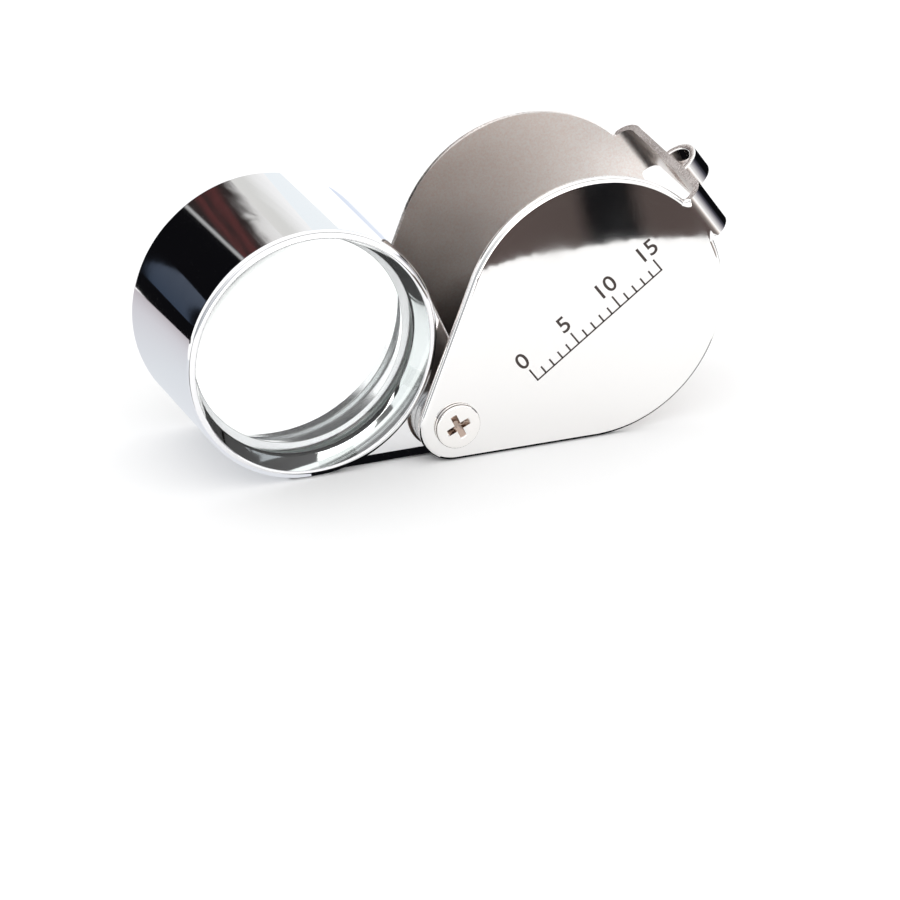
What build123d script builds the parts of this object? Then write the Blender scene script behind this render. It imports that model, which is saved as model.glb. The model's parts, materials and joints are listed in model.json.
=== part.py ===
from build123d import *
import os
from math import asin, degrees, sqrt

# Folding hand lens: a lens barrel on a lug swings out of a folded sheet cover.
# Working axes: X and Y lie in the plane of the leaves with the pivot at the origin, and Z is the lens axis,
# pointing out of the front leaf. The last step stands the lens up, with its lens axis along -Y and +Z up.

# --- optics: two domed lenses, domes inwards, with a spacer tube between them ---
clear_aperture = 21.0  # free diameter of the lens, which the whole object is sized around
lens_overlap = 0.5  # radial, how far the lip and the ring cover the lens edge
lens_edge = 1.5
lens_curvature = 23.7  # radius of the domed side
lens_gap = 1.4  # between the tops of the two domes
lens_bevel = 0.15
spacer_wall = 1.0
ring_depth = 1.8
ring_setback = 1.0  # rear barrel face to the ring
ring_flare = 0.35
spanner_slot_width = 1.4
spanner_slot_depth = 0.7

# --- lens housing: barrel and lug in one piece ---
barrel_wall = 0.95
mouth_depth = 2.4
mouth_flare = 0.8  # radial, how much the front mouth widens
lip_thickness = 0.4
rim_round = 0.6
lug_reach = 3.75  # barrel surface to the pivot
lug_setback = 0.85  # barrel face to lug face
lug_edge_round = 0.25

# --- cover: one stamped and folded sheet ---
sheet = 0.65  # sheet thickness
leaf_overhang = 0.7  # radial, how far the round end stands out past the barrel
leaf_shift = 0.55  # centre of the round end past the centre of the folded barrel
leaf_pivot_diameter = 7.0  # small end, around the pivot
bridge_clearance = 2.6  # folded barrel to the inside of the bridge
bridge_width = 4.8
bend_radius = 0.75  # inside radius of the two folds
relief_radius = 0.8  # hollow corners beside each fold
leaf_edge_round = 0.3  # rounding of the outside edges
loop_width = 2.5  # lanced cord loop, measured across the bridge
loop_bore = 3.2  # diameter of the half-round hole under the loop

# --- pivot ---
screw_diameter = 2.0
screw_grip = 5.0  # length of shank inside the post
head_overhang = 1.15  # radial, screw head past the shank
head_height = 0.5
head_edge_round = 0.22
recess_margin = 0.9  # head edge to the end of each arm of the cross recess
recess_arm = 0.62
recess_depth = 0.75
recess_turn = 25.0
post_wall = 0.7
washer_margin = 0.2  # radial, leaf end past the washers and the lug
curved_washer_sheet = 0.2
curved_washer_arch = 0.28  # rise of the curved washer when fitted

# --- fits ---
barrel_side_gap = 0.5  # barrel face to the inside of each leaf
running_clearance = 0.05  # radial and axial, turning fits at the pivot
seat_clearance = 0.05  # radial, glass in the barrel
thread_clearance = 0.02  # radial, screws and threaded pieces

# --- worked out from the above ---
lens_radius = clear_aperture / 2 + lens_overlap
lens_height = lens_edge + lens_curvature - sqrt(lens_curvature**2 - lens_radius**2)
bore_radius = lens_radius + seat_clearance
barrel_radius = bore_radius + barrel_wall
stack_depth = 2 * lens_height + lens_gap
barrel_depth = mouth_depth + lip_thickness + stack_depth + ring_depth + ring_setback
lens_seat = barrel_depth / 2 - mouth_depth - lip_thickness  # height of the front lens's flat side
ring_seat = lens_seat - stack_depth  # height of the rear lens's flat side
pivot_to_lens = barrel_radius + lug_reach
leaf_round_radius = barrel_radius + leaf_overhang
leaf_pivot_radius = leaf_pivot_diameter / 2
leaf_length = pivot_to_lens + leaf_shift
leaf_gap = barrel_depth + 2 * barrel_side_gap
case_depth = leaf_gap + 2 * sheet
bridge_reach = pivot_to_lens + barrel_radius + bridge_clearance + sheet  # to its outer face
lug_depth = barrel_depth - 2 * lug_setback
lug_gap = lug_setback + barrel_side_gap  # lug face to the inside of the leaf
lug_end_radius = leaf_pivot_radius - washer_margin
washer_radius = lug_end_radius
post_radius = screw_diameter / 2 + post_wall
head_radius = screw_diameter / 2 + head_overhang
# The cover lies on its straight lower edge and the barrel rests on the same surface.
cover_angle = degrees(asin((leaf_round_radius - leaf_pivot_radius) / leaf_length))
lens_angle = 180 - degrees(asin((barrel_radius - leaf_pivot_radius) / pivot_to_lens))


def disc(radius, low, high):
    """A round solid about the Z axis between two heights."""
    return Pos(0, 0, (low + high) / 2) * Cylinder(radius, high - low)


def washer(outer_radius, inner_radius, low, high):
    return disc(outer_radius, low, high) - disc(inner_radius, low - 1, high + 1)


def tangent_points(small_radius, large_radius, distance):
    """Where the upper common tangent meets a small circle at the origin and a large one on +X."""
    slope = (large_radius - small_radius) / distance
    normal = Vector(-slope, sqrt(1 - slope**2), 0)
    return normal * small_radius, Vector(distance, 0, 0) + normal * large_radius


def teardrop(small_radius, large_radius, distance):
    """Two circles joined by their outer tangents."""
    near, far = tangent_points(small_radius, large_radius, distance)
    edges = [
        Line(near, far),
        ThreePointArc(far, (distance + large_radius, 0, 0), (far.X, -far.Y, 0)),
        Line((far.X, -far.Y, 0), (near.X, -near.Y, 0)),
        ThreePointArc((near.X, -near.Y, 0), (-small_radius, 0, 0), near),
    ]
    return make_face(Wire(edges))


def cover_blank():
    """Outline of a leaf with the strip that becomes half of the bridge."""
    strip_length = bridge_reach - leaf_length
    strip = Pos(leaf_length + strip_length / 2, 0) * Rectangle(strip_length, bridge_width)
    blank = teardrop(leaf_pivot_radius, leaf_round_radius, leaf_length) + strip
    shoulder_x = leaf_length + sqrt(leaf_round_radius**2 - (bridge_width / 2) ** 2)
    shoulders = [v for v in blank.vertices() if abs(v.X - shoulder_x) < 0.01]
    return fillet(shoulders, relief_radius)


def folded_section():
    """The sheet seen edge on: leaf, fold, bridge, fold, leaf."""
    length = bridge_reach + leaf_pivot_diameter  # open end, past the small end of the leaves
    outside = Pos(bridge_reach - length / 2, 0) * Rectangle(length, case_depth)
    outer_corners = outside.vertices().group_by(Axis.X)[-1]
    outside = fillet(outer_corners, bend_radius + sheet)
    inside = Pos(bridge_reach - sheet - length / 2, 0) * Rectangle(length, leaf_gap)
    inner_corners = inside.vertices().group_by(Axis.X)[-1]
    inside = fillet(inner_corners, bend_radius)
    return Plane.XZ * (outside - inside)


def cord_loop():
    """Half-round strap that stands out of the bridge."""
    strap = Cylinder(loop_bore / 2 + sheet, loop_width) - Cylinder(loop_bore / 2, loop_width)
    strap = strap & Pos(loop_bore, 0, 0) * Box(2 * loop_bore, 2 * loop_bore, loop_width)
    return Pos(bridge_reach, 0, 0) * Rot(90, 0, 0) * strap


def cover():
    folded = extrude(folded_section(), leaf_round_radius, both=True)
    sheet_metal = folded & extrude(cover_blank(), case_depth, both=True)
    leaf_edges = sheet_metal.edges().filter_by(Plane.XY).group_by(Axis.Z)
    body = fillet(leaf_edges[0] + leaf_edges[-1], leaf_edge_round)
    window = Pos(bridge_reach, 0, 0) * Box(2 * sheet, loop_width, loop_bore)
    screw_hole = Cylinder(screw_diameter / 2 + running_clearance, 2 * case_depth)
    return Rot(0, 0, cover_angle) * (body - window - screw_hole + cord_loop())


def lug():
    """Flat arm from the barrel to the pivot, with softened outer edges."""
    near, far = tangent_points(lug_end_radius, barrel_radius, pivot_to_lens)
    edges = [
        Line(far, near),
        ThreePointArc(near, (-lug_end_radius, 0, 0), (near.X, -near.Y, 0)),
        Line((near.X, -near.Y, 0), (far.X, -far.Y, 0)),
        Line((far.X, -far.Y, 0), far),
    ]
    arm = extrude(make_face(Wire(edges)), lug_depth / 2, both=True)
    face_edges = arm.edges().filter_by(Plane.XY)
    outer_edges = [e for e in face_edges if abs(e.center().X - far.X) > 0.01]
    return fillet(outer_edges, lug_edge_round)


def barrel_bore():
    """Everything that is hollow in the barrel, about the Z axis: flared mouth, lip and lens bore."""
    front = barrel_depth / 2
    lip = clear_aperture / 2
    mouth = lip + mouth_flare
    profile = Polyline(
        (0, front + 1),
        (mouth, front + 1),
        (mouth, front),
        (lip, front - mouth_depth),
        (lip, lens_seat),
        (bore_radius, lens_seat),
        (bore_radius, -front - 1),
        (0, -front - 1),
        close=True,
    )
    return revolve(Plane.XZ * make_face(profile), Axis.Z)


def lens_housing():
    barrel = disc(barrel_radius, -barrel_depth / 2, barrel_depth / 2)
    barrel = fillet(barrel.edges().filter_by(GeomType.CIRCLE), rim_round)
    post_bore = disc(post_radius + running_clearance, -barrel_depth, barrel_depth)
    solid = Pos(pivot_to_lens, 0, 0) * barrel + lug()
    solid = solid - Pos(pivot_to_lens, 0, 0) * barrel_bore() - post_bore
    return Rot(0, 0, lens_angle) * solid


def dome_height(radius):
    """Height of the domed side over the flat side, at a radius from the lens axis."""
    return lens_height - lens_curvature + sqrt(lens_curvature**2 - radius**2)


def lens_blank():
    """Flat side at height 0 facing +Z, domed side facing -Z, ground edge between."""
    flat = Line((0, 0), (lens_radius - lens_bevel, 0))
    bevel = Line(flat @ 1, (lens_radius, -lens_bevel))
    edge = Line(bevel @ 1, (lens_radius, -lens_edge))
    middle_radius = lens_radius / 2
    middle = (middle_radius, -dome_height(middle_radius))
    dome = ThreePointArc(edge @ 1, middle, (0, -lens_height))
    axis_side = Line(dome @ 1, (0, 0))
    section = make_face(Wire([flat, bevel, edge, dome, axis_side]))
    return revolve(Plane.XZ * section, Axis.Z)


def on_lens_axis(piece):
    return Rot(0, 0, lens_angle) * Pos(pivot_to_lens, 0, 0) * piece


def front_lens():
    return on_lens_axis(Pos(0, 0, lens_seat) * lens_blank())


def rear_lens():
    return on_lens_axis(Pos(0, 0, ring_seat) * Rot(180, 0, 0) * lens_blank())


def lens_spacer():
    """Tube whose inner corners bear on the two domed sides."""
    inner_radius = lens_radius - spacer_wall
    bearing = dome_height(inner_radius)
    tube = washer(lens_radius, inner_radius, ring_seat + bearing, lens_seat - bearing)
    return on_lens_axis(tube)


def retaining_ring():
    """Threaded ring behind the rear lens, flared to the rear, with two spanner slots."""
    outer = bore_radius - thread_clearance
    low = ring_seat - ring_depth
    ring = washer(outer, clear_aperture / 2, low, ring_seat)
    inner_edge = ring.faces().sort_by(Axis.Z)[0].edges().sort_by(SortBy.LENGTH)[0]
    ring = chamfer(inner_edge, ring_flare)
    slots = Pos(0, 0, low) * Box(4 * outer, spanner_slot_width, 2 * spanner_slot_depth)
    return on_lens_axis(ring - slots)


def pivot_post():
    threaded_bore = screw_diameter / 2 + thread_clearance
    return washer(post_radius, threaded_bore, -leaf_gap / 2, leaf_gap / 2)


def pivot_screw():
    """Pan-head screw with a cross recess, its head on the face of the front leaf."""
    seat = case_depth / 2
    head = disc(head_radius, seat, seat + head_height)
    head = fillet(head.faces().sort_by(Axis.Z)[-1].edges(), head_edge_round)
    shank = disc(screw_diameter / 2, leaf_gap / 2 - screw_grip, seat)
    recess_radius = head_radius - recess_margin
    arm = Box(2 * recess_radius, recess_arm, recess_depth)
    drill_point = Cone(recess_arm / 2, recess_radius, recess_depth)
    recess = (arm + Rot(0, 0, 90) * arm) & drill_point
    recess = Pos(0, 0, seat + head_height - recess_depth / 2) * Rot(0, 0, recess_turn) * recess
    return head + shank - recess


def pivot_washer(thickness):
    """Plain washer on the post, against the inside of the front leaf."""
    hole = post_radius + running_clearance
    return washer(washer_radius, hole, leaf_gap / 2 - thickness, leaf_gap / 2)


def front_washer():
    return pivot_washer(lug_gap - running_clearance)


def rear_washer():
    curved_height = curved_washer_sheet + curved_washer_arch
    return Rot(180, 0, 0) * pivot_washer(lug_gap - running_clearance - curved_height)


def curved_washer():
    """Thin ring bent about the Y axis, its crown on the lug and its two sides on the rear washer."""
    half = washer_radius
    inner = (half**2 + curved_washer_arch**2) / (2 * curved_washer_arch)
    crown = -lug_depth / 2 - running_clearance
    bend_centre = crown - inner - curved_washer_sheet
    shell = Cylinder(inner + curved_washer_sheet, 2 * half) - Cylinder(inner, 2 * half)
    shell = Pos(0, 0, bend_centre) * Rot(90, 0, 0) * shell
    hole = post_radius + running_clearance
    return shell & washer(half, hole, crown - 1, crown + 1)


pieces = {
    "cover": cover(),
    "lens_housing": lens_housing(),
    "front_lens": front_lens(),
    "lens_spacer": lens_spacer(),
    "rear_lens": rear_lens(),
    "retaining_ring": retaining_ring(),
    "pivot_post": pivot_post(),
    "front_pivot_screw": pivot_screw(),
    "rear_pivot_screw": Rot(180, 0, 0) * pivot_screw(),
    "front_washer": front_washer(),
    "rear_washer": rear_washer(),
    "curved_washer": curved_washer(),
}

# Stand the lens up and put the origin under the middle of its box, on the surface it rests on.
upright = {name: Pos(0, 0, leaf_pivot_radius) * Rot(90, 0, 0) * piece for name, piece in pieces.items()}
box = Compound(children=[Compound(piece.solids()) for piece in upright.values()]).bounding_box()
pivot_x = -(box.min.X + box.max.X) / 2
os.makedirs("parts", exist_ok=True)
for name, piece in upright.items():
    export_step(Pos(pivot_x, 0, 0) * piece, f"parts/{name}.step")
print("pivot at", round(pivot_x, 4), 0, leaf_pivot_radius)
print("box", box.size)
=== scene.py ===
import json
import random
from math import asin, atan2, cos, pi, radians, sin, sqrt

import bmesh
import bpy
from mathutils import Matrix, Vector


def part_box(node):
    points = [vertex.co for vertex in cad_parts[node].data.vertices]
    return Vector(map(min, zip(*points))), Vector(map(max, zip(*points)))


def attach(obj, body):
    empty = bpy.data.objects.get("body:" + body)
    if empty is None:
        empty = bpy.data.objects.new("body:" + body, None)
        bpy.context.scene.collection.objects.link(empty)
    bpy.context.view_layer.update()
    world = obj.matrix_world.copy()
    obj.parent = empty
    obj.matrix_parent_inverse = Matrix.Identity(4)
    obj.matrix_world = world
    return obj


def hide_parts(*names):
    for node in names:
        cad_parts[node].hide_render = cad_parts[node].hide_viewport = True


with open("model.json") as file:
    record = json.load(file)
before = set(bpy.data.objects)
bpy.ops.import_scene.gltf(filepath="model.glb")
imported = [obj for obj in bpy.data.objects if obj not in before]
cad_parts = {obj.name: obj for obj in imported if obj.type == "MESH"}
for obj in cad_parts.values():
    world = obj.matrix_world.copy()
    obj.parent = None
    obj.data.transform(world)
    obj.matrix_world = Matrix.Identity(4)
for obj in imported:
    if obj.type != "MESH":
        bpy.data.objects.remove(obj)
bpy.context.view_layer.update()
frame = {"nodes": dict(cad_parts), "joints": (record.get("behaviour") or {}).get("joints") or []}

# ---------------------------------------------------------------------------
# Lens housing: a brass barrel with a flat lug, chrome plated all over. The barrel is turned,
# its front mouth flares out to the rim, and the lug is brazed to its side and polished flush.
# ---------------------------------------------------------------------------
MM = 0.001
barrel_low, barrel_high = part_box("lens_housing")
glass_low, glass_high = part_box("front_lens")
lens_axis = Vector(((glass_low.x + glass_high.x) / 2, 0, (glass_low.z + glass_high.z) / 2))
pivot = Vector(frame["joints"][0]["pos_m"])
barrel_half = barrel_high.y / MM
barrel_radius = (lens_axis.z - barrel_low.z) / MM
lens_seat = -glass_low.y / MM
bore_radius = 11.05
clear_radius = 10.5
mouth_radius = 11.3
mouth_depth = 2.4
rim_round = 0.6
lug_half = barrel_half - 0.85
lug_end_radius = 3.3
post_bore_radius = 1.75


def turned(section, rounding, centre, steps):
    """A solid turned about an axis along Y: closed section of (radius, y) in mm, with some corners rounded."""
    bm = bmesh.new()
    corners = [bm.verts.new((radius, y, 0)) for radius, y in section]
    bm.faces.new(corners)
    for index, radius in rounding.items():
        bmesh.ops.bevel(
            bm, geom=[corners[index]], affect="VERTICES", offset=radius, offset_type="OFFSET",
            segments=6, profile=0.5, material=-1, clamp_overlap=True,
        )
    bmesh.ops.delete(bm, geom=bm.faces[:], context="FACES_ONLY")
    on_axis = [e for e in bm.edges if all(v.co.x < 1e-6 for v in e.verts)]
    bmesh.ops.delete(bm, geom=on_axis, context="EDGES")
    spin_section(bm, centre, steps)
    return bm


def spin_section(bm, centre, steps):
    """Turns a section drawn in mm once round the Y axis, and puts the closed solid at its centre, in metres."""
    bmesh.ops.spin(
        bm, geom=bm.verts[:] + bm.edges[:], cent=(0, 0, 0), axis=(0, 1, 0), dvec=(0, 0, 0),
        angle=2 * pi, steps=steps, use_merge=True, use_duplicate=False,
    )
    bmesh.ops.remove_doubles(bm, verts=bm.verts[:], dist=1e-4)
    bmesh.ops.recalc_face_normals(bm, faces=bm.faces[:])
    bmesh.ops.scale(bm, vec=(MM, MM, MM), verts=bm.verts[:])
    bmesh.ops.translate(bm, vec=centre, verts=bm.verts[:])


def piece(name, bm, materials, body, nodes, smooth_under=32):
    """Makes the mesh an object that rides on its body and stands for its CAD nodes."""
    mesh = bpy.data.meshes.new(name)
    bm.to_mesh(mesh)
    bm.free()
    for material in materials:
        mesh.materials.append(material)
    mesh.shade_smooth()
    mesh.set_sharp_from_angle(angle=radians(smooth_under))
    made = bpy.data.objects.new(name, mesh)
    bpy.context.scene.collection.objects.link(made)
    evened = made.modifiers.new("even_normals", "WEIGHTED_NORMAL")
    evened.keep_sharp = True
    evened.weight = 100
    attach(made, body)
    if nodes:
        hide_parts(*nodes)
    return made


def metal(name, colour, roughness, variation, peel):
    """Bare or plated metal: uneven gloss, fine rub marks and a slightly wavy surface. Lengths in mm."""
    made = bpy.data.materials.new(name)
    made.use_nodes = True
    tree = made.node_tree
    shader = tree.nodes["Principled BSDF"]
    shader.inputs["Metallic"].default_value = 1.0
    shader.inputs["Base Color"].default_value = (*colour, 1.0)
    place = tree.nodes.new("ShaderNodeTexCoord")
    cloud = tree.nodes.new("ShaderNodeTexNoise")
    cloud.inputs["Scale"].default_value = 260.0
    cloud.inputs["Detail"].default_value = 6.0
    tree.links.new(place.outputs["Object"], cloud.inputs["Vector"])
    gloss = tree.nodes.new("ShaderNodeMapRange")
    gloss.inputs["From Min"].default_value = 0.3
    gloss.inputs["From Max"].default_value = 0.75
    gloss.inputs["To Min"].default_value = roughness
    gloss.inputs["To Max"].default_value = roughness + variation
    tree.links.new(cloud.outputs["Fac"], gloss.inputs["Value"])
    tree.links.new(gloss.outputs["Result"], shader.inputs["Roughness"])
    waves = tree.nodes.new("ShaderNodeTexNoise")
    waves.inputs["Scale"].default_value = 420.0
    waves.inputs["Detail"].default_value = 2.0
    tree.links.new(place.outputs["Object"], waves.inputs["Vector"])
    bump = tree.nodes.new("ShaderNodeBump")
    bump.inputs["Strength"].default_value = 1.0
    bump.inputs["Distance"].default_value = peel * MM
    tree.links.new(waves.outputs["Fac"], bump.inputs["Height"])
    tree.links.new(bump.outputs["Normal"], shader.inputs["Normal"])
    return made


chrome = metal("housing_chrome", (0.9, 0.9, 0.91), 0.03, 0.035, 0.0012)

barrel_section = [
    (barrel_radius, -barrel_half),
    (barrel_radius, barrel_half),
    (bore_radius, barrel_half),
    (bore_radius, -lens_seat),
    (clear_radius, -lens_seat),
    (clear_radius, -barrel_half + mouth_depth),
    (mouth_radius - 0.05, -barrel_half),
]
barrel_rounding = {0: rim_round, 1: rim_round, 2: 0.12, 4: 0.06, 5: 0.5, 6: 1.3}
housing = turned(barrel_section, barrel_rounding, lens_axis, 192)


def lug_shape():
    """Flat arm whose sides are tangent to the barrel and to the round end about the pivot."""
    arm = lens_axis - pivot
    reach = arm.length / MM
    direction = atan2(arm.z, arm.x)
    lean = asin((barrel_radius - lug_end_radius) / reach)
    bm = bmesh.new()
    root_radius = barrel_radius - 0.5
    # drawn with the pivot at the origin and the barrel on +X, in X and Z
    end_top = bm.verts.new((-lug_end_radius * sin(lean), 0, lug_end_radius * cos(lean)))
    root_top = bm.verts.new((reach - barrel_radius * sin(lean), 0, barrel_radius * cos(lean)))
    end = bmesh.ops.spin(
        bm, geom=[end_top], cent=(0, 0, 0), axis=(0, -1, 0), dvec=(0, 0, 0),
        angle=pi - 2 * lean, steps=40, use_merge=False, use_duplicate=False,
    )
    end_low = [g for g in end["geom_last"] if isinstance(g, bmesh.types.BMVert)][0]
    bm.edges.new((end_top, root_top))
    inner_top = bm.verts.new((reach - root_radius * sin(lean), 0, root_radius * cos(lean)))
    bm.edges.new((root_top, inner_top))
    inner = bmesh.ops.spin(
        bm, geom=[inner_top], cent=(reach, 0, 0), axis=(0, -1, 0), dvec=(0, 0, 0),
        angle=pi - 2 * lean, steps=60, use_merge=False, use_duplicate=False,
    )
    inner_low = [g for g in inner["geom_last"] if isinstance(g, bmesh.types.BMVert)][0]
    root_low = bm.verts.new((root_top.co.x, 0, -root_top.co.z))
    bm.edges.new((inner_low, root_low))
    bm.edges.new((root_low, end_low))
    outline = bm.edges[:]
    hole = bmesh.ops.create_circle(bm, cap_ends=False, radius=post_bore_radius, segments=48)
    bmesh.ops.rotate(bm, verts=hole["verts"], cent=(0, 0, 0), matrix=Matrix.Rotation(pi / 2, 3, "X"))
    bmesh.ops.triangle_fill(bm, use_beauty=True, use_dissolve=False, edges=bm.edges[:], normal=(0, -1, 0))
    bmesh.ops.recalc_face_normals(bm, faces=bm.faces[:])
    lower = bm.faces[:]
    raised = bmesh.ops.extrude_face_region(bm, geom=lower, use_keep_orig=True)
    top = [g for g in raised["geom"] if isinstance(g, bmesh.types.BMVert)]
    bmesh.ops.translate(bm, vec=(0, 2 * lug_half, 0), verts=top)
    bmesh.ops.translate(bm, vec=(0, -lug_half, 0), verts=bm.verts[:])
    bmesh.ops.recalc_face_normals(bm, faces=bm.faces[:])

    def outside(edge):
        flat = abs(edge.verts[0].co.y - edge.verts[1].co.y) < 1e-6
        turning = len(edge.link_faces) == 2 and edge.calc_face_angle() > radians(60)
        middle = (edge.verts[0].co + edge.verts[1].co) / 2
        clear_of_bore = Vector((middle.x, middle.z)).length > post_bore_radius + 0.5
        clear_of_root = Vector((middle.x - reach, middle.z)).length > barrel_radius - 0.02
        return flat and turning and clear_of_bore and clear_of_root

    bmesh.ops.bevel(
        bm, geom=[e for e in bm.edges if outside(e)], affect="EDGES", offset=0.25, offset_type="OFFSET",
        segments=4, profile=0.5, material=-1, clamp_overlap=True,
    )
    bmesh.ops.rotate(bm, verts=bm.verts[:], cent=(0, 0, 0), matrix=Matrix.Rotation(-direction, 3, "Y"))
    bmesh.ops.scale(bm, vec=(MM, MM, MM), verts=bm.verts[:])
    bmesh.ops.translate(bm, vec=pivot, verts=bm.verts[:])
    mesh = bpy.data.meshes.new("lug")
    bm.to_mesh(mesh)
    bm.free()
    return mesh


lug_mesh = lug_shape()
housing.from_mesh(lug_mesh)
bpy.data.meshes.remove(lug_mesh)
piece("housing", housing, [chrome], "lens", ["lens_housing"])

# ---------------------------------------------------------------------------
# Two lenses: ground and polished crown glass, flat outside and domed inside, with a fine ground edge.
# The front one lies against the lip of the barrel and the rear one under the retaining ring.
# ---------------------------------------------------------------------------
lens_radius = 11.0
lens_edge = 1.5
lens_curvature = 23.7
lens_bevel = 0.15


def clear_glass():
    made = bpy.data.materials.new("lens_glass")
    made.use_nodes = True
    tree = made.node_tree
    shader = tree.nodes["Principled BSDF"]
    shader.inputs["Base Color"].default_value = (1.0, 1.0, 1.0, 1.0)
    shader.inputs["Transmission Weight"].default_value = 1.0
    shader.inputs["IOR"].default_value = 1.52
    place = tree.nodes.new("ShaderNodeTexCoord")
    dust = tree.nodes.new("ShaderNodeTexNoise")
    dust.inputs["Scale"].default_value = 900.0
    dust.inputs["Detail"].default_value = 8.0
    tree.links.new(place.outputs["Object"], dust.inputs["Vector"])
    film = tree.nodes.new("ShaderNodeMapRange")
    film.inputs["From Min"].default_value = 0.55
    film.inputs["From Max"].default_value = 0.85
    film.inputs["To Min"].default_value = 0.0
    film.inputs["To Max"].default_value = 0.04
    tree.links.new(dust.outputs["Fac"], film.inputs["Value"])
    tree.links.new(film.outputs["Result"], shader.inputs["Roughness"])
    tint = tree.nodes.new("ShaderNodeVolumeAbsorption")
    tint.inputs["Color"].default_value = (0.72, 0.93, 0.84, 1.0)
    tint.inputs["Density"].default_value = 14.0
    tree.links.new(tint.outputs["Volume"], tree.nodes["Material Output"].inputs["Volume"])
    return made


def ground_glass():
    made = bpy.data.materials.new("ground_edge")
    made.use_nodes = True
    tree = made.node_tree
    shader = tree.nodes["Principled BSDF"]
    shader.inputs["Base Color"].default_value = (0.5, 0.6, 0.55, 1.0)
    shader.inputs["Transmission Weight"].default_value = 1.0
    shader.inputs["IOR"].default_value = 1.52
    place = tree.nodes.new("ShaderNodeTexCoord")
    grit = tree.nodes.new("ShaderNodeTexNoise")
    grit.inputs["Scale"].default_value = 6000.0
    grit.inputs["Detail"].default_value = 4.0
    tree.links.new(place.outputs["Object"], grit.inputs["Vector"])
    frost = tree.nodes.new("ShaderNodeMapRange")
    frost.inputs["To Min"].default_value = 0.35
    frost.inputs["To Max"].default_value = 0.6
    tree.links.new(grit.outputs["Fac"], frost.inputs["Value"])
    tree.links.new(frost.outputs["Result"], shader.inputs["Roughness"])
    bump = tree.nodes.new("ShaderNodeBump")
    bump.inputs["Distance"].default_value = 0.01 * MM
    tree.links.new(grit.outputs["Fac"], bump.inputs["Height"])
    tree.links.new(bump.outputs["Normal"], shader.inputs["Normal"])
    return made


glass_materials = [clear_glass(), ground_glass()]


def lens(node, flat_y, inward):
    """Plano-convex lens: its flat side at flat_y, its dome pointing the way of inward along Y."""
    bm = bmesh.new()
    half_angle = asin(lens_radius / lens_curvature)
    dome_centre = lens_edge - lens_curvature * cos(half_angle)
    top = bm.verts.new((0, dome_centre + lens_curvature, 0))
    arc = bmesh.ops.spin(
        bm, geom=[top], cent=(0, dome_centre, 0), axis=(0, 0, -1), dvec=(0, 0, 0),
        angle=half_angle, steps=40, use_merge=False, use_duplicate=False,
    )
    dome_rim = [g for g in arc["geom_last"] if isinstance(g, bmesh.types.BMVert)][0]
    bevel_top = bm.verts.new((lens_radius, lens_bevel, 0))
    bevel_low = bm.verts.new((lens_radius - lens_bevel, 0, 0))
    middle = bm.verts.new((0, 0, 0))
    for pair in ((dome_rim, bevel_top), (bevel_top, bevel_low), (bevel_low, middle)):
        bm.edges.new(pair)
    bmesh.ops.scale(bm, vec=(1, inward, 1), verts=bm.verts[:])
    spin_section(bm, lens_axis + Vector((0, flat_y * MM, 0)), 160)
    for face in bm.faces:
        out = face.calc_center_median() - lens_axis
        on_edge = Vector((out.x, out.z)).length > (lens_radius - lens_bevel) * MM * 0.998
        face.material_index = 1 if on_edge else 0
    piece(node + "_glass", bm, glass_materials, "lens", [node])


lens("front_lens", -lens_seat, 1)
lens("rear_lens", lens_seat, -1)

# ---------------------------------------------------------------------------
# Lens spacer: a turned aluminium tube that holds the two domes apart at their rims.
# It is a loose fit between the lenses, inside the bore.
# ---------------------------------------------------------------------------
spacer_low, spacer_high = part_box("lens_spacer")
spacer_half = spacer_high.y / MM
spacer_outer = (spacer_high.x - spacer_low.x) / 2 / MM
spacer_inner = spacer_outer - 1.0
spacer_metal = metal("spacer_aluminium", (0.8, 0.81, 0.82), 0.1, 0.12, 0.003)
groove_depth = 0.35
groove_half = 0.9
groove_slope = 0.35
spacer_section = [
    (spacer_outer, -spacer_half),
    (spacer_outer, spacer_half),
    (spacer_inner, spacer_half),
    (spacer_inner, groove_half + groove_slope),
    (spacer_inner + groove_depth, groove_half),
    (spacer_inner + groove_depth, -groove_half),
    (spacer_inner, -groove_half - groove_slope),
    (spacer_inner, -spacer_half),
]
spacer_rounding = {0: 0.08, 1: 0.08, 2: 0.05, 3: 0.1, 4: 0.1, 5: 0.1, 6: 0.1, 7: 0.05}
spacer = turned(spacer_section, spacer_rounding, lens_axis, 160)
piece("spacer", spacer, [spacer_metal], "lens", ["lens_spacer"])

# ---------------------------------------------------------------------------
# Retaining ring: a threaded, plated ring screwed in behind the rear lens.
# Two slots across its rear face take a spanner.
# ---------------------------------------------------------------------------
ring_metal = metal("ring_chrome", (0.86, 0.87, 0.88), 0.06, 0.06, 0.0015)
frame["nodes"]["retaining_ring"].data.materials.clear()
frame["nodes"]["retaining_ring"].data.materials.append(ring_metal)

# ---------------------------------------------------------------------------
# Cover: one piece of stainless sheet, blanked, folded twice into two leaves and a bridge, and polished
# outside. The inside keeps its tumbled grain, and the cord loop is lanced out of the bridge.
# ---------------------------------------------------------------------------
cover_low, cover_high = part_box("cover")
sheet = 0.65
leaf_face = cover_high.y / MM
leaf_round = cover_high.z / MM / 2
leaf_end = pivot.z / MM
leaf_length = 16.3
cover_angle = asin((leaf_round - leaf_end) / leaf_length)
bridge_face = 31.0
bridge_half = 2.4
fold_radius = 1.95
relief_radius = 0.3
window_half_width = 1.25
window_half_depth = 1.6
screw_hole_radius = 1.05
front_edge_round = 0.46
rear_edge_round = 0.2
sheared_edge_round = 0.07


def last_vert(result):
    return [g for g in result["geom_last"] if isinstance(g, bmesh.types.BMVert)][0]


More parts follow.
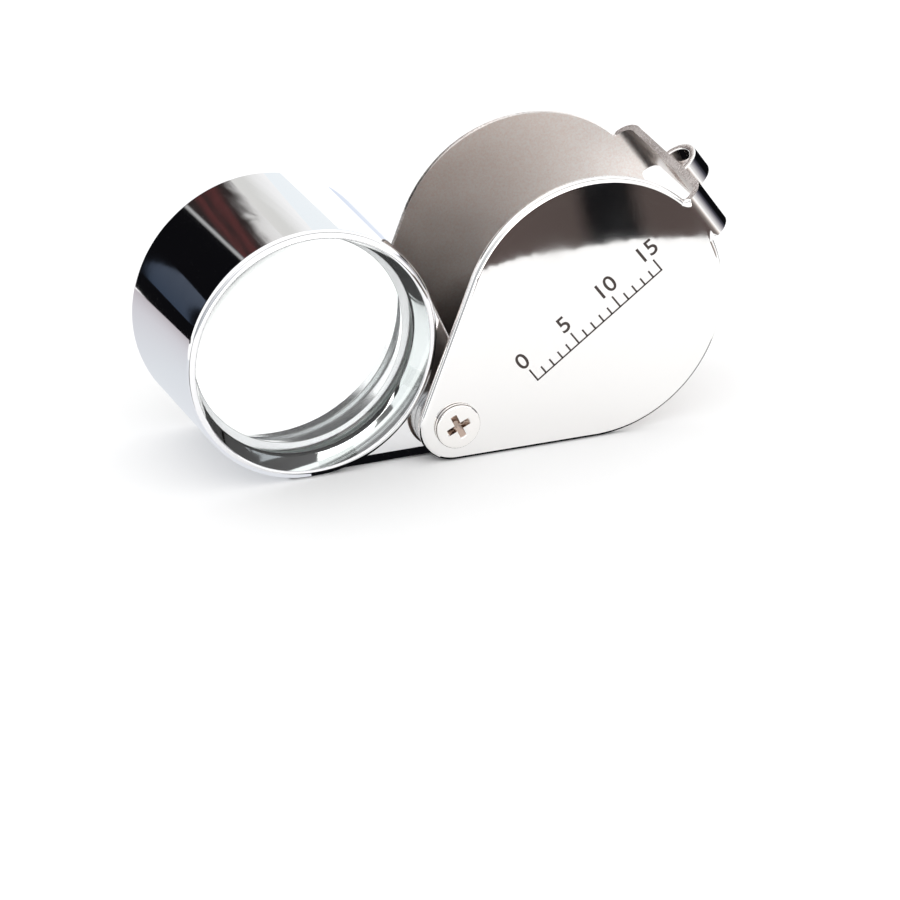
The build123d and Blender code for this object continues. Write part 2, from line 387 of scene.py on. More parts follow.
def arc(bm, start, centre_x, centre_z, angle, steps):
    """Carries a vertex round a centre in the plane of the leaf, and gives the vertex at the far end."""
    return last_vert(bmesh.ops.spin(
        bm, geom=[start], cent=(centre_x, start.co.y, centre_z), axis=(0, -1, 0), dvec=(0, 0, 0),
        angle=angle, steps=steps, use_merge=False, use_duplicate=False,
    ))


def leaf_blank(bm):
    """Outline of the front leaf, drawn with the pivot at the origin and the bridge on +X, then filled round its hole."""
    lean = cover_angle
    relief_z = bridge_half + relief_radius
    relief_reach = sqrt((leaf_round + relief_radius) ** 2 - relief_z**2)
    relief_x = leaf_length + relief_reach
    relief_angle = atan2(relief_z, relief_reach)
    fold_x = bridge_face - fold_radius
    nose = bm.verts.new((-leaf_end, -leaf_face, 0))
    tangent = arc(bm, nose, 0, 0, pi / 2 - lean, 16)
    far_tangent = bm.verts.new((leaf_length - leaf_round * sin(lean), -leaf_face, -leaf_round * cos(lean)))
    bm.edges.new((tangent, far_tangent))
    shoulder = arc(bm, far_tangent, leaf_length, 0, pi / 2 + lean - relief_angle, 72)
    neck = arc(bm, shoulder, relief_x, -relief_z, -(pi / 2 - relief_angle), 10)
    corner = bm.verts.new((fold_x, -leaf_face, -bridge_half))
    window_line = bm.verts.new((fold_x, -leaf_face, -window_half_width))
    middle = bm.verts.new((fold_x, -leaf_face, 0))
    for pair in ((neck, corner), (corner, window_line), (window_line, middle)):
        bm.edges.new(pair)
    bmesh.ops.mirror(bm, geom=bm.verts[:] + bm.edges[:], matrix=Matrix.Identity(4), merge_dist=1e-4, axis="Z")
    hole = bmesh.ops.create_circle(bm, cap_ends=False, radius=screw_hole_radius, segments=40)
    bmesh.ops.rotate(bm, verts=hole["verts"], cent=(0, 0, 0), matrix=Matrix.Rotation(pi / 2, 3, "X"))
    bmesh.ops.translate(bm, vec=(0, -leaf_face, 0), verts=hole["verts"])
    bmesh.ops.remove_doubles(bm, verts=bm.verts[:], dist=1e-4)
    bmesh.ops.triangle_fill(bm, use_beauty=True, use_dissolve=False, edges=bm.edges[:], normal=(0, -1, 0))


def folded_sheet():
    """The outer surface of the cover: leaf, fold, half bridge, then the same mirrored."""
    bm = bmesh.new()
    leaf_blank(bm)
    fold_x = bridge_face - fold_radius
    strip = [e for e in bm.edges if all(abs(v.co.x - fold_x) < 1e-4 for v in e.verts)]
    folded = bmesh.ops.spin(
        bm, geom=strip, cent=(fold_x, -leaf_face + fold_radius, 0), axis=(0, 0, 1), dvec=(0, 0, 0),
        angle=pi / 2, steps=12, use_merge=False, use_duplicate=False,
    )
    strip = [g for g in folded["geom_last"] if isinstance(g, bmesh.types.BMEdge)]
    depth = -leaf_face + fold_radius
    for next_depth in (-window_half_depth - 1.5, -window_half_depth, 0.0):
        pulled = bmesh.ops.extrude_edge_only(bm, edges=strip)
        strip = [g for g in pulled["geom"] if isinstance(g, bmesh.types.BMEdge)]
        strip = [e for e in strip if abs(e.verts[0].co.z - e.verts[1].co.z) > 1e-4]
        moved = list({v for e in strip for v in e.verts})
        bmesh.ops.translate(bm, vec=(0, next_depth - depth, 0), verts=moved)
        depth = next_depth
    window = [
        f for f in bm.faces
        if abs(f.calc_center_median().y) < window_half_depth
        and abs(f.calc_center_median().z) < window_half_width
        and f.calc_center_median().x > bridge_face - 0.01
    ]
    bmesh.ops.delete(bm, geom=window, context="FACES")
    bmesh.ops.mirror(
        bm, geom=bm.verts[:] + bm.edges[:] + bm.faces[:], matrix=Matrix.Identity(4), merge_dist=1e-4, axis="Y",
    )
    bmesh.ops.recalc_face_normals(bm, faces=bm.faces[:])
    front = min(bm.faces, key=lambda f: f.calc_center_median().y)
    if front.normal.y > 0:
        bmesh.ops.reverse_faces(bm, faces=bm.faces[:])
    return bm


def thickened(bm):
    """Gives the outer surface its sheet thickness inwards: material 0 outside, 1 inside and 2 on the sheared edges."""
    mesh = bpy.data.meshes.new("cover_surface")
    bm.to_mesh(mesh)
    bm.free()
    for _ in range(3):
        mesh.materials.append(None)
    shell = bpy.data.objects.new("cover_surface", mesh)
    bpy.context.scene.collection.objects.link(shell)
    wall = shell.modifiers.new("wall", "SOLIDIFY")
    wall.thickness = sheet
    wall.offset = -1
    wall.use_even_offset = True
    wall.material_offset = 1
    wall.material_offset_rim = 2
    bpy.context.view_layer.update()
    walled = bpy.data.meshes.new_from_object(shell.evaluated_get(bpy.context.evaluated_depsgraph_get()))
    solid = bmesh.new()
    solid.from_mesh(walled)
    bpy.data.objects.remove(shell)
    bpy.data.meshes.remove(mesh)
    bpy.data.meshes.remove(walled)
    return solid


def between(edge, one, other):
    return sorted(f.material_index for f in edge.link_faces) == sorted((one, other))


def round_sheet_edges(bm):
    fold_x = bridge_face - fold_radius

    def on_leaf(edge, side):
        return all(v.co.x < fold_x + 1e-3 and side * v.co.y > leaf_face - 1e-3 for v in edge.verts)

    def at_screw_hole(edge):
        return all(Vector((v.co.x, v.co.z)).length < screw_hole_radius + 0.01 for v in edge.verts)

    for side, edge_round in ((-1, front_edge_round), (1, rear_edge_round)):
        leaf_edges = [e for e in bm.edges if between(e, 0, 2) and on_leaf(e, side) and not at_screw_hole(e)]
        polished_off = bmesh.ops.bevel(
            bm, geom=leaf_edges, affect="EDGES", offset=edge_round, offset_type="OFFSET",
            segments=6, profile=0.5, material=-1, clamp_overlap=False,
        )
        for face in polished_off["faces"]:
            face.material_index = 0
    inner_edges = [e for e in bm.edges if between(e, 1, 2)]
    tumbled_off = bmesh.ops.bevel(
        bm, geom=inner_edges, affect="EDGES", offset=sheared_edge_round, offset_type="OFFSET",
        segments=2, profile=0.5, material=-1, clamp_overlap=True,
    )
    for face in tumbled_off["faces"]:
        face.material_index = 2
    bmesh.ops.dissolve_limit(
        bm, angle_limit=radians(0.2), use_dissolve_boundaries=False, verts=bm.verts[:], edges=bm.edges[:],
        delimit={"MATERIAL"},
    )


def cord_loop():
    """Half-round strap standing out of the bridge, its two feet let into the sheet."""
    bm = bmesh.new()
    inner, outer, foot = window_half_depth, window_half_depth + sheet, 0.3
    corners = [
        bm.verts.new((bridge_face - foot, -radius, side * window_half_width))
        for radius, side in ((inner, -1), (outer, -1), (outer, 1), (inner, 1))
    ]
    edges = [bm.edges.new((corners[i], corners[(i + 1) % 4])) for i in range(4)]

    def pulled(edges, distance):
        moved = bmesh.ops.extrude_edge_only(bm, edges=edges)
        verts = [g for g in moved["geom"] if isinstance(g, bmesh.types.BMVert)]
        bmesh.ops.translate(bm, vec=(distance, 0, 0), verts=verts)
        chosen = set(verts)
        return [e for e in bm.edges if e.verts[0] in chosen and e.verts[1] in chosen]

    edges = pulled(edges, foot)
    bent = bmesh.ops.spin(
        bm, geom=edges, cent=(bridge_face, 0, 0), axis=(0, 0, 1), dvec=(0, 0, 0),
        angle=pi, steps=28, use_merge=False, use_duplicate=False,
    )
    edges = [g for g in bent["geom_last"] if isinstance(g, bmesh.types.BMEdge)]
    pulled(edges, -foot)
    bmesh.ops.holes_fill(bm, edges=bm.edges[:], sides=4)
    bmesh.ops.recalc_face_normals(bm, faces=bm.faces[:])
    for face in bm.faces:
        face.material_index = 2 if abs(face.normal.z) > 0.9 else 0
    long_edges = [
        e for e in bm.edges
        if len(e.link_faces) == 2 and between(e, 0, 2) and e.calc_face_angle() > radians(60)
    ]
    rounded = bmesh.ops.bevel(
        bm, geom=long_edges, affect="EDGES", offset=0.1, offset_type="OFFSET",
        segments=3, profile=0.5, material=-1, clamp_overlap=True,
    )
    for face in rounded["faces"]:
        face.material_index = 0
    mesh = bpy.data.meshes.new("cord_loop")
    bm.to_mesh(mesh)
    bm.free()
    return mesh


def speckled(tree, shader, place, dark, light, scale):
    """Mottles the colour of a metal between two close shades."""
    spots = tree.nodes.new("ShaderNodeTexNoise")
    spots.inputs["Scale"].default_value = scale
    spots.inputs["Detail"].default_value = 5.0
    spots.inputs["Roughness"].default_value = 0.7
    tree.links.new(place.outputs["Object"], spots.inputs["Vector"])
    shades = tree.nodes.new("ShaderNodeValToRGB")
    shades.color_ramp.elements[0].position = 0.32
    shades.color_ramp.elements[0].color = (*dark, 1.0)
    shades.color_ramp.elements[1].position = 0.62
    shades.color_ramp.elements[1].color = (*light, 1.0)
    tree.links.new(spots.outputs["Fac"], shades.inputs["Fac"])
    tree.links.new(shades.outputs["Color"], shader.inputs["Base Color"])
    return spots


def grained_steel(name, dark, light, roughness, variation, grain_scale, grain_depth):
    """Unpolished sheet: fine tumbled grain that shows in both the colour and the surface."""
    made = metal(name, light, roughness, variation, 0.001)
    tree = made.node_tree
    shader = tree.nodes["Principled BSDF"]
    place = tree.nodes["Texture Coordinate"]
    spots = speckled(tree, shader, place, dark, light, grain_scale)
    grain = tree.nodes.new("ShaderNodeBump")
    grain.inputs["Strength"].default_value = 1.0
    grain.inputs["Distance"].default_value = grain_depth * MM
    tree.links.new(spots.outputs["Fac"], grain.inputs["Height"])
    tree.links.new(tree.nodes["Bump"].outputs["Normal"], grain.inputs["Normal"])
    tree.links.new(grain.outputs["Normal"], shader.inputs["Normal"])
    return made


def tarnished(made, start, end, darkest):
    """Painted shade: darkens a metal's colour towards the bottom of the sheet, standing in for the shade between the
    two leaves. Heights in mm above the floor.
    """
    tree = made.node_tree
    shader = tree.nodes["Principled BSDF"]
    colour = shader.inputs["Base Color"].links[0].from_socket
    height = tree.nodes.new("ShaderNodeVectorMath")
    height.operation = "DOT_PRODUCT"
    height.inputs[1].default_value = (0.25, 0, 0.97)
    tree.links.new(tree.nodes["Texture Coordinate"].outputs["Object"], height.inputs[0])
    # Painted shade: full darkening below the start height, none above the end height.
    shade_by_height = tree.nodes.new("ShaderNodeMapRange")
    shade_by_height.interpolation_type = "SMOOTHSTEP"
    shade_by_height.inputs["From Min"].default_value = start * MM
    shade_by_height.inputs["From Max"].default_value = end * MM
    tree.links.new(height.outputs["Value"], shade_by_height.inputs["Value"])
    shade = tree.nodes.new("ShaderNodeMix")
    shade.data_type = "RGBA"
    shade.blend_type = "MULTIPLY"
    shade.inputs["B"].default_value = (*darkest, 1.0)
    flipped = tree.nodes.new("ShaderNodeMath")
    flipped.operation = "SUBTRACT"
    flipped.inputs[0].default_value = 1.0
    tree.links.new(shade_by_height.outputs["Result"], flipped.inputs[1])
    tree.links.new(flipped.outputs["Value"], shade.inputs["Factor"])
    tree.links.new(colour, shade.inputs["A"])
    tree.links.new(shade.outputs["Result"], shader.inputs["Base Color"])


polished = metal("cover_polished", (0.93, 0.92, 0.91), 0.035, 0.04, 0.0012)
satin = grained_steel("cover_satin_painted_shade", (0.93, 0.82, 0.77), (1.0, 0.97, 0.94), 0.3, 0.12, 5200.0, 0.006)
sheared = grained_steel("cover_sheared", (0.62, 0.55, 0.53), (0.97, 0.92, 0.89), 0.2, 0.12, 4200.0, 0.015)

# Painted shade on the inner faces of both leaves: darker towards the bottom, where the leaves shade each other.
tarnished(satin, 3.0, 13.5, (0.21, 0.17, 0.15))

cover = thickened(folded_sheet())
round_sheet_edges(cover)
loop_mesh = cord_loop()
cover.from_mesh(loop_mesh)
bpy.data.meshes.remove(loop_mesh)
bmesh.ops.rotate(cover, verts=cover.verts[:], cent=(0, 0, 0), matrix=Matrix.Rotation(-cover_angle, 3, "Y"))
bmesh.ops.scale(cover, vec=(MM, MM, MM), verts=cover.verts[:])
bmesh.ops.translate(cover, vec=pivot, verts=cover.verts[:])
piece("folded_cover", cover, [polished, satin, sheared], "cover", ["cover"])

# ---------------------------------------------------------------------------
# Millimetre scale: fifteen dark marks with their numbers, etched into the face of the front leaf.
# Each mark is filled with black oxide and stands a hair above the polish.
# ---------------------------------------------------------------------------
scale_start = Vector((7.9, 0, 6.64))
scale_angle = radians(36.3)
scale_length = 15
mark_height = 0.012
mark_root = 0.02
number_lift = 1.8
number_height = 1.6


def etched_marks():
    bm = bmesh.new()
    for mark in range(scale_length + 1):
        length = 1.4 if mark % 5 == 0 else 0.85
        tick = bmesh.ops.create_cube(bm, size=1.0)
        bmesh.ops.scale(bm, vec=(0.17, mark_height + mark_root, length), verts=tick["verts"])
        bmesh.ops.translate(bm, vec=(mark, (mark_root - mark_height) / 2, length / 2), verts=tick["verts"])
    base = bmesh.ops.create_cube(bm, size=1.0)
    bmesh.ops.scale(bm, vec=(scale_length + 0.17, mark_height + mark_root, 0.15), verts=base["verts"])
    bmesh.ops.translate(bm, vec=(scale_length / 2, (mark_root - mark_height) / 2, 0), verts=base["verts"])
    return bm


def number(text, at, height):
    """A number as a mesh standing in X and Z, its middle over a mark."""
    curve = bpy.data.curves.new("number", "FONT")
    curve.body = text
    curve.size = height / 0.69
    curve.extrude = (mark_height + mark_root) / 2
    curve.align_x = "CENTER"
    curve.offset = 0.02
    curve.resolution_u = 6
    carrier = bpy.data.objects.new("number", curve)
    bpy.context.scene.collection.objects.link(carrier)
    bpy.context.view_layer.update()
    mesh = bpy.data.meshes.new_from_object(carrier.evaluated_get(bpy.context.evaluated_depsgraph_get()))
    bpy.data.objects.remove(carrier)
    bpy.data.curves.remove(curve)
    mesh.transform(Matrix.Translation((at, (mark_root - mark_height) / 2, number_lift)) @ Matrix.Rotation(pi / 2, 4, "X"))
    return mesh


oxide = bpy.data.materials.new("etched_oxide")
oxide.use_nodes = True
oxide_shader = oxide.node_tree.nodes["Principled BSDF"]
oxide_shader.inputs["Base Color"].default_value = (0.035, 0.022, 0.018, 1.0)
oxide_place = oxide.node_tree.nodes.new("ShaderNodeTexCoord")
oxide_cloud = oxide.node_tree.nodes.new("ShaderNodeTexNoise")
oxide_cloud.inputs["Scale"].default_value = 3000.0
oxide.node_tree.links.new(oxide_place.outputs["Object"], oxide_cloud.inputs["Vector"])
oxide_gloss = oxide.node_tree.nodes.new("ShaderNodeMapRange")
oxide_gloss.inputs["To Min"].default_value = 0.35
oxide_gloss.inputs["To Max"].default_value = 0.7
oxide.node_tree.links.new(oxide_cloud.outputs["Fac"], oxide_gloss.inputs["Value"])
oxide.node_tree.links.new(oxide_gloss.outputs["Result"], oxide_shader.inputs["Roughness"])

marks = etched_marks()
for value in range(0, scale_length + 1, 5):
    digits = number(str(value), value, number_height)
    marks.from_mesh(digits)
    bpy.data.meshes.remove(digits)
bmesh.ops.rotate(marks, verts=marks.verts[:], cent=(0, 0, 0), matrix=Matrix.Rotation(-scale_angle, 3, "Y"))
bmesh.ops.translate(marks, vec=scale_start + Vector((0, -leaf_face, 0)), verts=marks.verts[:])
bmesh.ops.scale(marks, vec=(MM, MM, MM), verts=marks.verts[:])
bmesh.ops.translate(marks, vec=Vector((pivot.x, 0, 0)), verts=marks.verts[:])
piece("scale_marks", marks, [oxide], "cover", [])

# ---------------------------------------------------------------------------
# Pivot: a brass post through the lug, a pan-head screw at each end, and three washers.
# ---------------------------------------------------------------------------


def screw_finish(name, node, facing):
    """Bright nickel on the face of the head and brown in the cross recess, with painted shade: thin dark lines round
    the top edge of the head and round its foot on the leaf.
    """
    low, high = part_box(node)
    head_radius = (high.x - low.x) / 2
    face = high.y if facing > 0 else -low.y
    made = metal(name, (0.95, 0.93, 0.91), 0.05, 0.07, 0.002)
    tree = made.node_tree
    shader = tree.nodes["Principled BSDF"]
    place = tree.nodes["Texture Coordinate"]
    outwards = tree.nodes.new("ShaderNodeVectorMath")
    outwards.operation = "SUBTRACT"
    outwards.inputs[1].default_value = (pivot.x, 0, pivot.z)
    tree.links.new(place.outputs["Object"], outwards.inputs[0])
    across = tree.nodes.new("ShaderNodeVectorMath")
    across.operation = "MULTIPLY"
    across.inputs[1].default_value = (1, 0, 1)
    tree.links.new(outwards.outputs["Vector"], across.inputs[0])
    reach = tree.nodes.new("ShaderNodeVectorMath")
    reach.operation = "LENGTH"
    tree.links.new(across.outputs["Vector"], reach.inputs[0])
    depth = tree.nodes.new("ShaderNodeVectorMath")
    depth.operation = "DOT_PRODUCT"
    depth.inputs[1].default_value = (0, facing, 0)
    tree.links.new(place.outputs["Object"], depth.inputs[0])
    # Painted shade: a thin dark line round the top edge of the head and another round its foot, where it meets the
    # leaf.
    wall = tree.nodes.new("ShaderNodeMapRange")
    wall.inputs["From Min"].default_value = head_radius - 0.07 * MM
    wall.inputs["From Max"].default_value = head_radius - 0.03 * MM
    tree.links.new(reach.outputs["Value"], wall.inputs["Value"])
    lines = tree.nodes.new("ShaderNodeMapRange")
    lines.inputs["From Min"].default_value = face - 0.5 * MM
    lines.inputs["From Max"].default_value = face
    tree.links.new(depth.outputs["Value"], lines.inputs["Value"])
    shade_bands = tree.nodes.new("ShaderNodeValToRGB")
    shade_bands.color_ramp.elements[0].position = 0.12
    shade_bands.color_ramp.elements[0].color = (1, 1, 1, 1)
    shade_bands.color_ramp.elements[1].position = 0.2
    shade_bands.color_ramp.elements[1].color = (0, 0, 0, 1)
    for position, shade in ((0.62, 0), (0.7, 1)):
        shade_bands.color_ramp.elements.new(position).color = (shade, shade, shade, 1)
    tree.links.new(lines.outputs["Result"], shade_bands.inputs["Fac"])
    rim = tree.nodes.new("ShaderNodeMath")
    rim.operation = "MULTIPLY"
    tree.links.new(wall.outputs["Result"], rim.inputs[0])
    tree.links.new(shade_bands.outputs["Color"], rim.inputs[1])
    within = tree.nodes.new("ShaderNodeMath")
    within.operation = "LESS_THAN"
    within.inputs[1].default_value = head_radius * 0.8
    tree.links.new(reach.outputs["Value"], within.inputs[0])
    sunk = tree.nodes.new("ShaderNodeMapRange")
    sunk.inputs["From Min"].default_value = face - 0.04 * MM
    sunk.inputs["From Max"].default_value = face - 0.12 * MM
    tree.links.new(depth.outputs["Value"], sunk.inputs["Value"])
    recess = tree.nodes.new("ShaderNodeMath")
    recess.operation = "MULTIPLY"
    tree.links.new(within.outputs["Value"], recess.inputs[0])
    tree.links.new(sunk.outputs["Result"], recess.inputs[1])
    # Brown in the cross recess and on its walls.
    recess_brown = tree.nodes.new("ShaderNodeMix")
    recess_brown.data_type = "RGBA"
    recess_brown.inputs["A"].default_value = (0.95, 0.93, 0.91, 1.0)
    recess_brown.inputs["B"].default_value = (0.42, 0.33, 0.28, 1.0)
    tree.links.new(recess.outputs["Value"], recess_brown.inputs["Factor"])
    # The painted shade lines go over the nickel and the brown recess.
    shade_lined = tree.nodes.new("ShaderNodeMix")
    shade_lined.data_type = "RGBA"
    shade_lined.inputs["B"].default_value = (0.07, 0.035, 0.022, 1.0)
    tree.links.new(rim.outputs["Value"], shade_lined.inputs["Factor"])
    tree.links.new(recess_brown.outputs["Result"], shade_lined.inputs["A"])
    tree.links.new(shade_lined.outputs["Result"], shader.inputs["Base Color"])
    return made


washer_steel = metal("washer_steel", (0.6, 0.6, 0.6), 0.2, 0.1, 0.002)
post_brass = metal("post_brass", (0.72, 0.55, 0.3), 0.2, 0.1, 0.002)
for node, facing in (("front_pivot_screw", -1), ("rear_pivot_screw", 1)):
    frame["nodes"][node].data.materials.clear()
    frame["nodes"][node].data.materials.append(screw_finish(node + "_nickel", node, facing))
for node in ("front_washer", "rear_washer", "curved_washer"):
    frame["nodes"][node].data.materials.clear()
    frame["nodes"][node].data.materials.append(washer_steel)
frame["nodes"]["pivot_post"].data.materials.clear()
frame["nodes"]["pivot_post"].data.materials.append(post_brass)

# ---------------------------------------------------------------------------
# Studio: a plain pale floor, soft white light all round, dark cards that only show in polished metal,
# and the camera.
# ---------------------------------------------------------------------------
camera_azimuth = radians(-21.2276)
camera_elevation = radians(24.1276)
camera_roll = radians(-0.3658)
camera_distance = 0.8
camera_target = Vector((0.978, -0.857, -2.708)) * MM
camera_focal = 349.598


def studio_camera():
    back = Vector((
        sin(camera_azimuth) * cos(camera_elevation),
        -cos(camera_azimuth) * cos(camera_elevation),
        sin(camera_elevation),
    ))
    right = Vector((cos(camera_azimuth), sin(camera_azimuth), 0))
    up = back.cross(right)
    rolled_right = right * cos(camera_roll) + up * sin(camera_roll)
    rolled_up = up * cos(camera_roll) - right * sin(camera_roll)
    data = bpy.data.cameras.new("camera")
    data.lens = camera_focal
    data.sensor_width = 36.0
    data.clip_start = 0.05
    data.clip_end = 20.0
    made = bpy.data.objects.new("camera", data)
    turn = Matrix((rolled_right, rolled_up, back)).transposed().to_4x4()
    made.matrix_world = Matrix.Translation(camera_target + back * camera_distance) @ turn
    bpy.context.scene.collection.objects.link(made)
    bpy.context.scene.camera = made


studio_camera()


def studio_floor():
    bm = bmesh.new()
    bmesh.ops.create_grid(bm, x_segments=8, y_segments=8, size=4.0)
    mesh = bpy.data.meshes.new("floor")
    bm.to_mesh(mesh)
    bm.free()
    paper = bpy.data.materials.new("floor_paper")
    paper.use_nodes = True
    shader = paper.node_tree.nodes["Principled BSDF"]
    shader.inputs["Base Color"].default_value = (0.92, 0.92, 0.92, 1.0)
    shader.inputs["Roughness"].default_value = 0.9
    shader.inputs["Specular IOR Level"].default_value = 0.1
    mesh.materials.append(paper)
    made = bpy.data.objects.new("floor", mesh)
    bpy.context.scene.collection.objects.link(made)


studio_floor()


def card(name, corners, paint, seen_by="metal"):
    """A flat card given by its corners in mm, which only polished metal sees, or only what is behind glass."""
    bm = bmesh.new()
    bm.faces.new([bm.verts.new(Vector(corner) * MM) for corner in corners])
    mesh = bpy.data.meshes.new(name)
    bm.to_mesh(mesh)
    bm.free()
    mesh.materials.append(paint)
    made = bpy.data.objects.new(name, mesh)
    bpy.context.scene.collection.objects.link(made)
    made.visible_camera = False
    made.visible_diffuse = False
    made.visible_glossy = seen_by == "metal"
    made.visible_transmission = seen_by == "glass"
    made.visible_shadow = False
    made.visible_volume_scatter = False


def card_paint(name, stops, along, streaks=(60, 60, 60), unevenness=0.0):
    """Card colour that changes along a direction: stops are (distance in mm, colour), streaks is the noise per metre."""
    made = bpy.data.materials.new(name)
    made.use_nodes = True
    tree = made.node_tree
    tree.nodes.remove(tree.nodes["Principled BSDF"])
    lit = tree.nodes.new("ShaderNodeEmission")
    tree.links.new(lit.outputs["Emission"], tree.nodes["Material Output"].inputs["Surface"])
    place = tree.nodes.new("ShaderNodeTexCoord")
    measured = tree.nodes.new("ShaderNodeVectorMath")
    measured.operation = "DOT_PRODUCT"
    measured.inputs[1].default_value = along
    tree.links.new(place.outputs["Object"], measured.inputs[0])
    first, last = stops[0][0], stops[-1][0]
    spread = tree.nodes.new("ShaderNodeMapRange")
    spread.inputs["From Min"].default_value = first * MM
    spread.inputs["From Max"].default_value = last * MM
    stretch = tree.nodes.new("ShaderNodeMapping")
    stretch.inputs["Scale"].default_value = streaks
    tree.links.new(place.outputs["Object"], stretch.inputs["Vector"])
    cloud = tree.nodes.new("ShaderNodeTexNoise")
    cloud.inputs["Scale"].default_value = 1.0
    cloud.inputs["Detail"].default_value = 4.0
    tree.links.new(stretch.outputs["Vector"], cloud.inputs["Vector"])
    centred = tree.nodes.new("ShaderNodeMath")
    centred.operation = "SUBTRACT"
    centred.inputs[1].default_value = 0.5
    tree.links.new(cloud.outputs["Fac"], centred.inputs[0])
    shift = tree.nodes.new("ShaderNodeMath")
    shift.operation = "MULTIPLY_ADD"
    shift.inputs[1].default_value = unevenness * MM
    tree.links.new(centred.outputs["Value"], shift.inputs[0])
    tree.links.new(measured.outputs["Value"], shift.inputs[2])
    tree.links.new(shift.outputs["Value"], spread.inputs["Value"])
    ramp = tree.nodes.new("ShaderNodeValToRGB")
    ramp.color_ramp.elements[0].color = (*stops[0][1], 1.0)
    ramp.color_ramp.elements[1].color = (*stops[-1][1], 1.0)
    for distance, colour in stops[1:-1]:
        ramp.color_ramp.elements.new((distance - first) / (last - first)).color = (*colour, 1.0)
    tree.links.new(spread.outputs["Result"], ramp.inputs["Fac"])
    tree.links.new(ramp.outputs["Color"], lit.inputs["Color"])
    return made


black = (0.004, 0.004, 0.005)
back_y = 150.0


def frayed(start, end, pitch, reach, seed):
    """Points along a line on the floor, pushed to and fro across it, for a card with a torn edge."""
    chance = random.Random(seed)
    line = Vector(end) - Vector(start)
    count = int(line.length / pitch)
    across = Vector((-line.y, line.x)).normalized()
    return [tuple(Vector(start) + line * i / count + across * chance.uniform(-reach, reach)) for i in range(count)]


def back_card(name, left, right, low, high, paint, nearer=0.0):
    y = back_y - nearer
    card(name, [(left, y, low), (right, y, low), (right, y, high), (left, y, high)], paint)


def floor_card(name, corners, paint, lift, seen_by="metal"):
    card(name, [(x, y, lift) for x, y in corners], paint, seen_by)


black_paint = card_paint("black_card", [(0, black), (1, black)], (1, 0, 0))
slate_paint = card_paint("slate_card", [(2, (0.04, 0.055, 0.085)), (44, (0.07, 0.085, 0.115))], (0, 0, 1))
streak_paint = card_paint(
    "streak_card", [(-63, (0.1, 0.1, 0.1)), (-60, (0.5, 0.5, 0.5)), (-57, (0.05, 0.05, 0.05))], (1, 0, 0),
    (60, 60, 1200), 3.0,
)
dark, russet = (0.03, 0.022, 0.022), (0.11, 0.035, 0.035)
middle_paint = card_paint(
    "russet_card",
    [(58, dark), (64, dark), (69, russet), (74, dark), (81, russet), (85, dark), (90, dark),
     (91.5, (0.3, 0.29, 0.28)), (93.5, (0.72, 0.71, 0.7)), (110, (0.95, 0.95, 0.94))],
    (0.46, 0, 0.89), (70, 50, 2200), 22.0,
)
haze_paint = card_paint(
    "haze_card", [(0, (0.75, 0.74, 0.72)), (20, (0.72, 0.72, 0.7)), (40, (0.95, 0.95, 0.95)), (48, (1.0, 1.0, 1.0))],
    (1, 0, 0), (60, 50, 2200), 26.0,
)
back_card("card_back_left", -220, -62, 0, 130, black_paint)
back_card("card_back_slate", -114.5, -106, 2, 44, slate_paint, nearer=1.0)
back_card("card_back_streak", -63, -57, 60, 130, streak_paint, nearer=1.0)
back_card("card_back_middle", -62, 6, 60, 130, middle_paint)
back_card("card_back_haze", 6, 46, 60, 130, haze_paint)
sky_paint = card_paint("sky_card", [(46, (0.92, 0.97, 1.0)), (180, (0.96, 0.99, 1.0)), (300, (1.2, 1.2, 1.2))], (1, 0, 0))
back_card("card_back_sky", 46, 300, 60, 190, sky_paint)
floor_card("card_floor_left", [(-260, 62), (-56, 62), (-66, 149), (-260, 149)], black_paint, 0.3)
lilac_paint = card_paint(
    "lilac_card",
    [(-20, (0.86, 0.88, 0.92)), (16, (0.76, 0.79, 0.83)), (40, (0.68, 0.67, 0.71)), (64, (0.52, 0.48, 0.51))], (0, 1, 0),
)
floor_card("card_floor_lilac", [(-72, 63), (-22, 63), (-15, -8), (-80, -20)], lilac_paint, 0.2)
brown = (0.115, 0.085, 0.08)
brown_edge = (0.09, 0.07, 0.065)
band_middle = 31.2 - 0.307 * 50
front_paint = card_paint(
    "front_card",
    [(band_middle - 20, brown), (band_middle - 3.8, brown_edge), (band_middle - 2, black),
     (band_middle + 2, black), (band_middle + 3.8, brown_edge), (band_middle + 20, brown)],
    (1, 0.307, 0), (500, 500, 500), 0.8,
)
front_edge = (
    frayed((12, -47.4), (22, -50.2), 0.3, 0.22, 1) + frayed((22, -50.2), (33, -50.2), 0.3, 0.22, 2)
    + frayed((33, -50.2), (45, -46.5), 0.3, 0.22, 3)
)
floor_card("card_front", front_edge + [(45, -46.5), (45, -72), (0, -72)], front_paint, 0.2)
fading_paint = card_paint(
    "fading_card",
    [(45, brown), (60, (0.22, 0.195, 0.185)), (80, (0.56, 0.5, 0.47)), (96, (0.92, 0.85, 0.8)), (110, (1.0, 1.0, 1.0))],
    (1, 0, 0),
)
floor_card("card_front_fading", [(45, -46.5), (110, -30), (110, -110), (45, -72)], fading_paint, 0.2)
bright_paint = card_paint("bright_card", [(0, (3.5, 3.42, 3.35)), (1, (3.5, 3.42, 3.35))], (1, 0, 0))
floor_card("card_front_bright", [(-40, -74), (45, -74), (45, -200), (-70, -200)], bright_paint, 0.2)
floor_card("card_under", [(-22, -8.6), (34, -8.6), (34, 24), (-16, 24)], black_paint, 0.15)
floor_card("card_contact", [(-3, -9.02), (32, -9.02), (34, -2), (-4, -2)], black_paint, 0.02)
edge_paint = card_paint(
    "edge_card",
    [(-130, (1.0, 1.0, 1.0)), (-92, (0.72, 0.71, 0.72)), (-58, (0.34, 0.33, 0.36)), (-28, (0.07, 0.07, 0.09)),
     (4, black), (130, black)],
    (0, 1, 0), (60, 60, 60), 8.0,
)
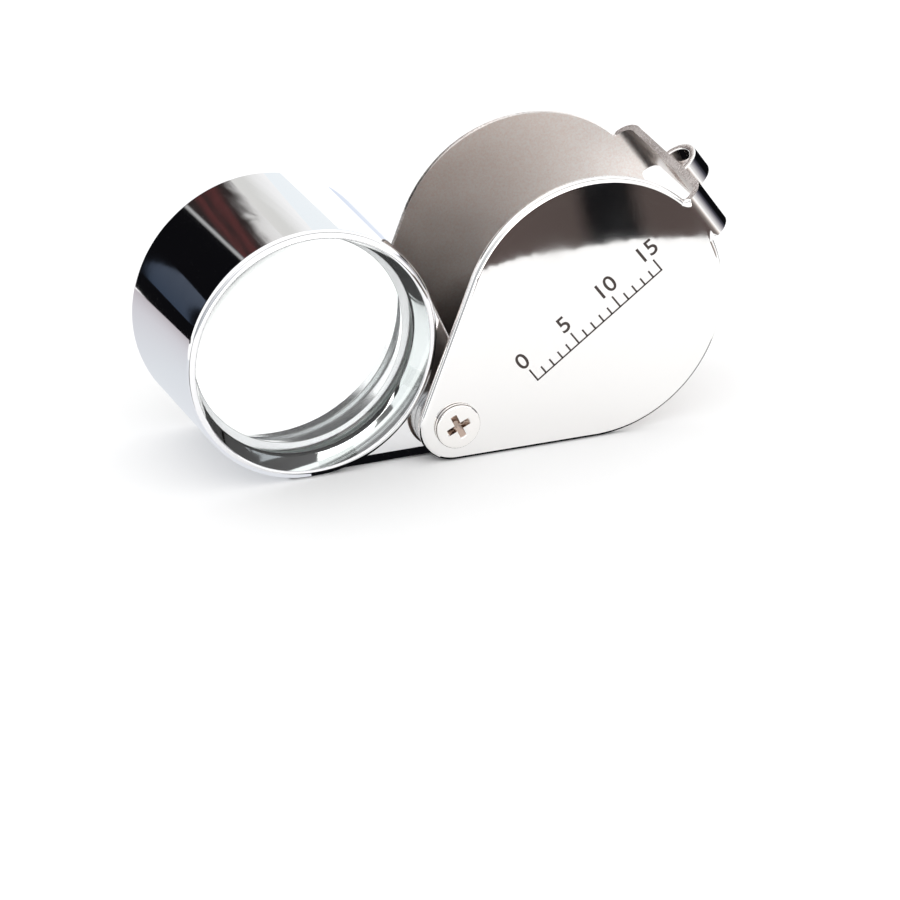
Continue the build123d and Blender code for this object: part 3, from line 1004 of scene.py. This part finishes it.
card("card_right", [(150, -130, 0), (150, 130, 0), (150, 130, 60), (150, -130, 60)], edge_paint)
haze_paint = card_paint("front_left_card", [(10, (0.5, 0.52, 0.55)), (150, (0.97, 0.98, 1.0))], (0, 0, 1))
card(
    "card_front_left", [(-260, -60, 10), (-60, -260, 10), (-60, -260, 150), (-260, -60, 150)], haze_paint,
)
overhead_strip = [
    (250, -80), (60, -80), (-45, -90), (-180, -148), (-280, -200), (-265, -170), (-165, -126), (-35, -68),
    (60, -58), (250, -58),
]
card("card_overhead", [(x, y, 150) for x, y in overhead_strip], black_paint)
left_strip = [(-72, 0), (-92, 40), (-112, 80), (-134, 150), (-112, 150), (-92, 80), (-72, 40), (-56, 0)]
card("card_left_strip", [(-150, y, z) for y, z in left_strip], black_paint)
floor_card(
    "card_floor_strip", [(-150, -72), (-52, -21), (-34, -12), (-34, -9), (-52, -14), (-150, -56)], black_paint, 0.15,
)
floor_card("card_floor_right", [(62, 14), (150, 14), (150, 130), (80, 130), (52, 40)], black_paint, 0.25)
blue_paint = card_paint("blue_card", [(36, (0.84, 0.89, 0.98)), (110, (0.72, 0.79, 0.92))], (0, 1, 0))
floor_card("card_floor_blue", [(-14, 36), (30, 36), (48, 110), (-10, 110)], blue_paint, 0.1)
white_paint = card_paint("white_card", [(0, (1.5, 1.5, 1.5)), (1, (1.5, 1.5, 1.5))], (1, 0, 0))
floor_card("card_through_lens", [(-70, 8.5), (40, 8.5), (60, 120), (-60, 120)], white_paint, 0.1, "glass")
dusk_paint = card_paint("dusk_card", [(0, (0.006, 0.006, 0.008)), (1, (0.006, 0.006, 0.008))], (1, 0, 0))
card("card_behind_lens", [(-40, 70, 26), (140, 70, 26), (140, 70, 150), (-40, 70, 150)], dusk_paint, "glass")

world = bpy.data.worlds.new("studio_air")
world.use_nodes = True
world.node_tree.nodes["Background"].inputs["Color"].default_value = (1.0, 1.0, 1.0, 1.0)
world.node_tree.nodes["Background"].inputs["Strength"].default_value = 1.25
bpy.context.scene.world = world
bpy.context.scene.view_settings.view_transform = "Standard"
